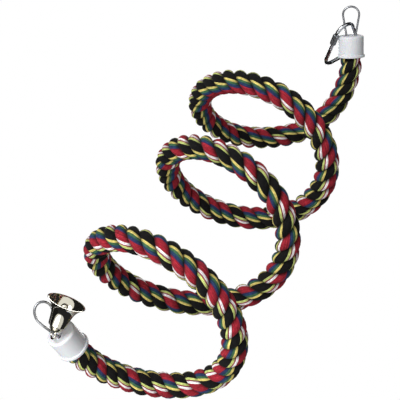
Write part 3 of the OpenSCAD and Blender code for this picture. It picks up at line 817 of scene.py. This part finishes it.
# Crimped aluminium sleeve: dull, softly brushed, dented by the crimping tool every 2.5 mm
def crimped_aluminium(name, stand):
    made, tree = new_material(name)
    place = own_place(tree, stand)
    height = add(tree, "ShaderNodeSeparateXYZ", (place,)).outputs[2]
    # Brushing, 0.4 mm apart
    brushed = grain(tree, place, (2.5 / MM,) * 3, 2.0)
    relief = add(tree, MATH, (brushed, 0.3, wave(tree, height, 2.5 * MM)),
                 operation="MULTIPLY_ADD")
    gloss = add(tree, MAP_RANGE, (brushed, 0.0, 1.0, 0.32, 0.5))
    coat(tree, {"Base Color": linear("#c3c5c8"), "Metallic": 1.0, "Roughness": gloss},
         (relief, 0.15 * MM, 0.7))
    return made


# Knurled sleeve nut: zinc plate over a grip cut crosswise each 1.1 mm, with painted shade in
# its grooves
def knurled_zinc(name, stand):
    made, tree = new_material(name)
    place = own_place(tree, stand)
    pitch = 1.1
    starts = TURN * nut_r / pitch
    cuts = [add(tree, MATH, (screw(tree, place, pitch * MM, way), 0.5),
                operation="PINGPONG") for way in (starts, -starts)]
    grip = add(tree, MATH, cuts, operation="MINIMUM")
    # Painted shade: the colour runs from dark in the grooves to bright on the ridges
    tone = colour_band(tree, grip, ((0.02, linear("#4c4f54")), (0.16, linear("#a9adb2")),
                                    (0.4, linear("#d3d6da"))))
    coat(tree, {"Base Color": tone, "Metallic": 1.0, "Roughness": 0.26},
         (grip, 0.6 * MM, 0.9))
    return made


# Plain wall paint on the floor: pale and dead matt, so that it only takes a soft shadow
def pale_floor():
    made, tree = new_material("Pale matt paint")
    place = add(tree, "ShaderNodeTexCoord").outputs["Object"]
    tone = colour_band(tree, grain(tree, place, (0.03 / MM,) * 3, 3.0),
                       ((0.3, linear("#f3f3f2")), (0.7, linear("#f6f6f5"))))
    paint = add(tree, "ShaderNodeBsdfPrincipled", {"Base Color": tone, "Roughness": 0.95})
    glow = add(tree, "ShaderNodeEmission", {"Color": tone, "Strength": 1.0})
    ray = add(tree, "ShaderNodeLightPath").outputs
    seen = add(tree, MATH, (ray["Is Camera Ray"], ray["Is Glossy Ray"]), operation="MAXIMUM")
    share = add(tree, MATH, (seen, floor_glow), operation="MULTIPLY")
    shader = add(tree, "ShaderNodeMixShader", (share, paint, glow))
    add(tree, "ShaderNodeOutputMaterial", {"Surface": shader})
    return made


# Black card: dead matt, and only there to be mirrored by the bell and the link
def black_card():
    made, tree = new_material("Black card")
    coat(tree, {"Base Color": linear("#1c1c1e"), "Roughness": 1.0})
    return made


# ---- Sizes and colours that a user would change ----


def colour_setting(name, description, code):
    return bpy.props.FloatVectorProperty(name=name, description=description, size=3,
                                         subtype="COLOR", min=0, max=1,
                                         default=linear(code)[:3])


def length_setting(name, description, metres, low, high):
    return bpy.props.FloatProperty(name=name, description=description, unit="LENGTH",
                                   default=metres, min=low, max=high, precision=4)


class PerchSettings(bpy.types.PropertyGroup):
    lay_length: length_setting(
        "Lay", "Length of rope in which a strand winds round once", 0.039, 0.02, 0.06)
    strand_centre: length_setting(
        "Strand centre radius", "Distance from the rope's middle to a strand's", 0.0057,
        0.004, 0.007)
    strand_radius: length_setting(
        "Strand radius", "Radius of one of the three strands", 0.0051, 0.003, 0.006)
    strand_step: length_setting(
        "Strand step", "Length of rope between two rings of a strand", 0.0016, 0.001, 0.004)
    strand_sides: bpy.props.IntProperty(
        name="Strand sides", description="Sides of a strand's round", default=24, min=8,
        max=48)
    yarn_twist: bpy.props.FloatProperty(
        name="Yarn twist", description="Turns of a strand's yarns against one lay",
        default=2.13, min=0, max=4)
    colour_start: bpy.props.FloatProperty(
        name="Colour start", description="Where the yarn colours start round a strand",
        subtype="FACTOR", default=0.0, min=0, max=1)
    eye_radius: length_setting(
        "Eye wire radius", "Radius of the wire of both eyes", 0.001, 0.0005, 0.002)
    link_radius: length_setting(
        "Link rod radius", "Radius of the quick link's rod", 0.0019, 0.001, 0.003)
    yarn_red: colour_setting("Red", "Dye of the red yarns", "#9e2432")
    yarn_white: colour_setting("White", "Colour of the undyed yarn", "#f6eef0")
    yarn_rose: colour_setting("Rose", "Dye of the dull red yarn", "#8c3048")
    yarn_lime: colour_setting("Lime", "Dye of the yellow-green yarn", "#c4cf7a")
    yarn_black: colour_setting("Black", "Dye of the black yarns", "#0b0b0c")
    yarn_yellow: colour_setting("Yellow", "Dye of the yellow yarn", "#dccb74")
    yarn_green: colour_setting("Green", "Dye of the green yarn", "#3c6446")
    yarn_blue: colour_setting("Blue", "Dye of the blue yarn", "#263f60")
    yarn_violet: colour_setting("Violet", "Dye of the blue-violet yarn", "#382f5c")
    cap_white: colour_setting("Cap", "Colour of the plastic caps", "#e6e8ec")


# ---- One operator for each piece or group of like pieces ----


class PERCH_OT_camera(bpy.types.Operator):
    """Set the camera at the photograph's angle"""
    bl_idname = "perch.camera"
    bl_label = "Camera"

    def execute(self, context):
        camera = put("Camera", bpy.data.cameras.new("Camera"))
        camera.data.sensor_width = sensor_mm
        camera.data.lens = lens_mm
        camera.data.clip_end = 50
        camera.location = placed((0, 0, 0), camera_stand)
        camera.rotation_euler = Matrix(camera_stand.tolist()).to_euler()
        context.scene.camera = camera
        context.scene.view_settings.view_transform = "Standard"
        return {"FINISHED"}


class PERCH_OT_rope(bpy.types.Operator):
    """Lay the three cotton strands of the rope, and run the core wire through it"""
    bl_idname = "perch.rope"
    bl_label = "Rope and core wire"

    def execute(self, context):
        settings = context.scene.perch
        route = rope_centreline(700, rope_end_z)
        strands = from_tree("rope_strands", route, laid_rope_tree(), {
            "Strands": 3,
            "Lay": settings.lay_length,
            "Strand Centre Radius": settings.strand_centre,
            "Strand Radius": settings.strand_radius,
            "Step": settings.strand_step,
            "Sides": settings.strand_sides,
            "Material": dyed_cotton(settings),
        })
        core = from_tree(
            "core_wire_run", rope_centreline(420, ferrule_top_z - core_tail), bent_rod_tree(),
            {"Radius": core_wire_r * MM, "Step": 0.003, "Sides": 10,
             "Material": zinc_plated("Drawn spring steel", "#a6a8ab", 0.3)})
        for piece, slot, node in ((strands, "cotton_rope", "rope"),
                                  (core, "spring_steel", "core_wire")):
            given_to(piece, None, node)
            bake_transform(piece)
        return {"FINISHED"}


class PERCH_OT_caps(bpy.types.Operator):
    """Turn and drill the two plastic end caps"""
    bl_idname = "perch.caps"
    bl_label = "End caps"

    def execute(self, context):
        plastic = moulded_polypropylene("Moulded polypropylene", context.scene.perch.cap_white)
        for name, body, stand, (twist, sway, bend) in rope_ends:
            stand = stand @ turned("Z", twist)
            cap = lathe(f"{name}_cap_moulded", cap_profile(), plastic, stand)
            drilled(cap, [lathe("drill", drill_profile(), plastic,
                                stand @ moved(side * eye_foot / 2, 0, 0), 32)
                          for side in (-1, 1)])
            given_to(cap, body, f"{name}_cap", 35)
        return {"FINISHED"}


class PERCH_OT_end_fittings(bpy.types.Operator):
    """Finish the tapes and the crimped sleeves that the caps hide"""
    bl_idname = "perch.end_fittings"
    bl_label = "Tapes and sleeves"

    def execute(self, context):
        for name, body, stand, bent in rope_ends:
            dress(f"{name}_tape", wound_tape(f"Woven cotton tape {name}", stand))
            dress(f"{name}_ferrule", crimped_aluminium(f"Crimped aluminium {name}", stand))
        return {"FINISHED"}


class PERCH_OT_eyes(bpy.types.Operator):
    """Bend the two wire eyes"""
    bl_idname = "perch.eyes"
    bl_label = "Wire eyes"

    def execute(self, context):
        wire = zinc_plated("Zinc-plated eye wire", "#8e9094", 0.2)
        tree = bent_rod_tree()
        for name, body, stand, bent in rope_ends:
            eye = from_tree(f"{name}_eye_wire", placed(eye_points(*bent), stand), tree,
                            {"Radius": context.scene.perch.eye_radius, "Step": 0.0007,
                             "Sides": 24, "Material": wire})
            given_to(eye, body, f"{name}_eye", 60)
        return {"FINISHED"}


class PERCH_OT_link(bpy.types.Operator):
    """Bend the quick link and finish its sleeve nut"""
    bl_idname = "perch.link"
    bl_label = "Quick link"

    def execute(self, context):
        route = np.array(link_points())
        length = float(np.linalg.norm(np.diff(route, axis=0), axis=1).sum() - thread_len) * MM
        zinc = zinc_plated("Bright zinc-plated rod", "#c6c9cd", 0.08, length)
        rod = from_tree("link_rod", placed(route, link_stand), bent_rod_tree(),
                        {"Radius": context.scene.perch.link_radius, "Step": 0.0008,
                         "Sides": 32, "Material": zinc})
        given_to(rod, "link", "link_body", 60)
        gate, way = (route[0] + route[-1]) / 2, route[-1] - route[0]
        lean = turned("Y", math.degrees(math.atan2(way[0], way[2])))
        dress("link_nut", knurled_zinc("Knurled zinc-plated nut",
                                       link_stand @ moved(*gate) @ lean))
        return {"FINISHED"}


class PERCH_OT_bell(bpy.types.Operator):
    """Turn the bell's shell, its crown with the ring, the staple and the clapper"""
    bl_idname = "perch.bell"
    bl_label = "Bell"

    def execute(self, context):
        nickel = nickel_plated("Nickel-plated spun steel", "#dcd8c8", 0.06, 0.9, 0.03 * MM)
        brushed = nickel_plated("Turned nickel", "#cdc7b2", 0.24, 2.6, 0.06 * MM)
        steel = nickel_plated("Bright steel staple", "#b4b2a8", 0.22, 2.0, 0.04 * MM)
        shell = lathe("bell_shell_spun", bell_profile(), nickel, bell_stand, 128)
        given_to(shell, "bell", "bell_shell", 50)
        crown = joined("bell_crown_turned",
                       lathe("boss", crown_profile(), brushed, bell_stand),
                       wire_ring("ring", crown_z, ring_tube_r, nickel,
                                 bell_stand @ turned("Z", 90 + crown_turn), 64))
        given_to(crown, "bell", "bell_crown", 30)
        staple = joined("clapper_staple_wire",
                        lathe("plate", plate_profile(), steel, bell_stand, 64),
                        wire_ring("loop", staple_r, clapper_wire_r, steel,
                                  bell_stand @ moved(0, 0, staple_z), 48))
        given_to(staple, "bell", "clapper_staple", 30)
        hung = bell_stand @ moved(0, 0, clapper_z)
        clapper = joined("clapper_ball", lathe("ball", ball_profile(), nickel, hung, 48),
                         wire_ring("link", clapper_ring_r, clapper_wire_r, nickel,
                                   hung @ turned("Z", 90), 48))
        given_to(clapper, "clapper", "clapper", 40)
        return {"FINISHED"}


def staged(name, corners, material):
    """A flat piece of the stage."""
    mesh = bpy.data.meshes.new(name)
    mesh.from_pydata([tuple(c) for c in corners], [], [(0, 1, 2, 3)])
    mesh.materials.append(material)
    made = put(name, mesh)
    return made


class PERCH_OT_stage(bpy.types.Operator):
    """Lay the pale floor, stand the cards and set the soft studio light"""
    bl_idname = "perch.stage"
    bl_label = "Floor and light"

    def execute(self, context):
        far = floor_half
        staged("floor", placed([(-far, -far, floor_z), (far, -far, floor_z),
                                (far, far, floor_z), (-far, far, floor_z)], moved(0, 0, 0)),
               pale_floor())
        black = black_card()
        half = card_half
        for name, spin in (("card_right", 0), ("card_up", 90), ("card_left", 180),
                           ("card_down", 270)):
            card = staged(name, placed([(half, -half, card_near), (half, half, card_near),
                                        (half, half, card_far), (half, -half, card_far)],
                                       studio_stand @ turned("Z", spin)), black)
            card.visible_camera = False
            card.visible_diffuse = False
            card.visible_shadow = False
            card.visible_transmission = False
        for name, place, size, power in lamps:
            light = put(name, bpy.data.lights.new(name, "AREA"))
            light.data.size = size
            light.data.energy = power
            light.location, middle = placed([place, (0, 0, 0)], studio_stand)
            ray = Vector(middle) - light.location
            light.rotation_euler = ray.to_track_quat("-Z", "Y").to_euler()
        world = bpy.data.worlds.new("Studio")
        world.use_nodes = True
        sky = world.node_tree
        sky.nodes.clear()
        ray = add(sky, "ShaderNodeLightPath").outputs
        seen = ray["Is Camera Ray"]
        for other in (ray["Is Glossy Ray"], ray["Is Transmission Ray"]):
            seen = add(sky, MATH, (seen, other), operation="MAXIMUM")
        strength = add(sky, MAP_RANGE, (seen, 0.0, 1.0, sky_light, 1.0))
        shine = add(sky, "ShaderNodeBackground",
                    {"Color": linear("#ffffff"), "Strength": strength})
        add(sky, "ShaderNodeOutputWorld", {"Surface": shine})
        context.scene.world = world
        return {"FINISHED"}


OPERATORS = (PERCH_OT_camera, PERCH_OT_rope, PERCH_OT_caps, PERCH_OT_end_fittings,
             PERCH_OT_eyes, PERCH_OT_link, PERCH_OT_bell, PERCH_OT_stage)


class PERCH_PT_panel(bpy.types.Panel):
    """The perch's pieces and settings"""
    bl_label = "Spiral Rope Perch"
    bl_idname = "PERCH_PT_panel"
    bl_space_type = "VIEW_3D"
    bl_region_type = "UI"
    bl_category = "Perch"

    def draw(self, context):
        for name in PerchSettings.__annotations__:
            self.layout.prop(context.scene.perch, name)
        for kind in OPERATORS:
            self.layout.operator(kind.bl_idname)


CLASSES = (PerchSettings, *OPERATORS, PERCH_PT_panel)


def register():
    for kind in CLASSES:
        bpy.utils.register_class(kind)
    bpy.types.Scene.perch = bpy.props.PointerProperty(type=PerchSettings)


def unregister():
    del bpy.types.Scene.perch
    for kind in reversed(CLASSES):
        bpy.utils.unregister_class(kind)


def main():
    register()
    for kind in OPERATORS:
        getattr(bpy.ops.perch, kind.bl_idname.removeprefix("perch."))()


if __name__ == "__main__":
    main()
